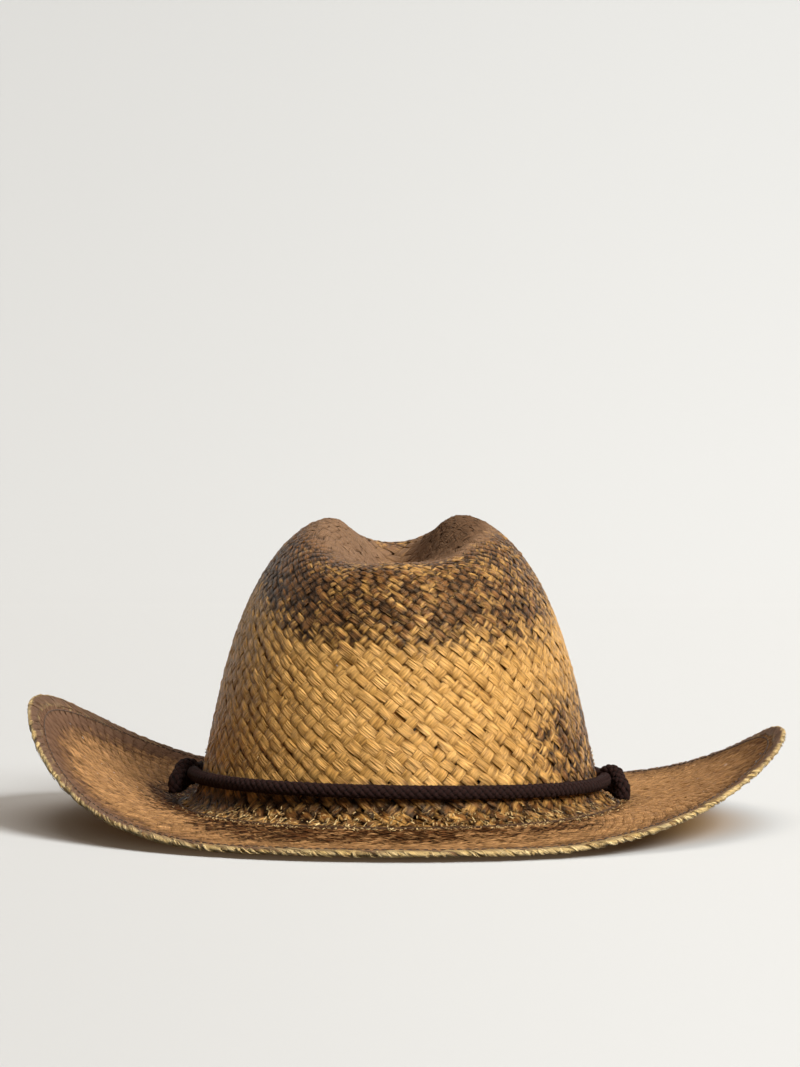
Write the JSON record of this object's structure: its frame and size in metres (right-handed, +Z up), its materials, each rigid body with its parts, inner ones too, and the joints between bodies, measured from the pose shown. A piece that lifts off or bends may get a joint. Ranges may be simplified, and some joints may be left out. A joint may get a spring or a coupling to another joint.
{
  "type": "cowboy hat",
  "caption": "Woven straw cowboy hat with a centre-creased crown, side-curled brim, turned wired edge, sweatband and a tie-on braided cord.",
  "frame": {"origin": "centre of the brim's outline, on the plane that the front and back of the brim rest on", "axes": "+Z up, the front of the hat faces -Y, +X is the side with the lower curl"},
  "size_m": [0.3412, 0.37, 0.1351],
  "materials": {
    "straw_crown": "plain-woven flat straw strands, slightly glossy, golden tan, sprayed dark brown round the top and the foot",
    "straw_brim": "plain-woven flat straw strands, golden tan, sprayed dark brown at the root and mauve brown near the edge",
    "straw_edge": "pale folded strands, rope-like",
    "wire": "thin plain drawn wire",
    "thread": "matte sewing thread",
    "sweatband_cloth": "dark twill tape",
    "label_tape": "blank off-white satin tape",
    "cord": "round braid, dark maroon brown, matte"
  },
  "bodies": {
    "hat": {"crown": "straw_crown", "brim": "straw_brim", "brim_edge_hem": "straw_edge", "brim_wire": "wire", "brim_hem_stitching": "thread", "sweatband": "sweatband_cloth", "sweatband_stitching": "thread", "size_label": "label_tape"},
    "hat_cord": {"hat_cord_front": "cord", "hat_cord_rear": "cord"},
    "care_label": {"care_label": "label_tape"}
  },
  "joints": [
    {"name": "cord_lift", "type": "slide", "parent": "hat", "child": "hat_cord", "axis": [0, 0, 1], "range_m": [0, 0.15]},
    {"name": "care_label_fold", "type": "hinge", "parent": "hat", "child": "care_label", "pos_m": [-0.0036, 0.0957, 0.0061], "axis": [1, 0, 0], "range_deg": [0, 80]}
  ]
}
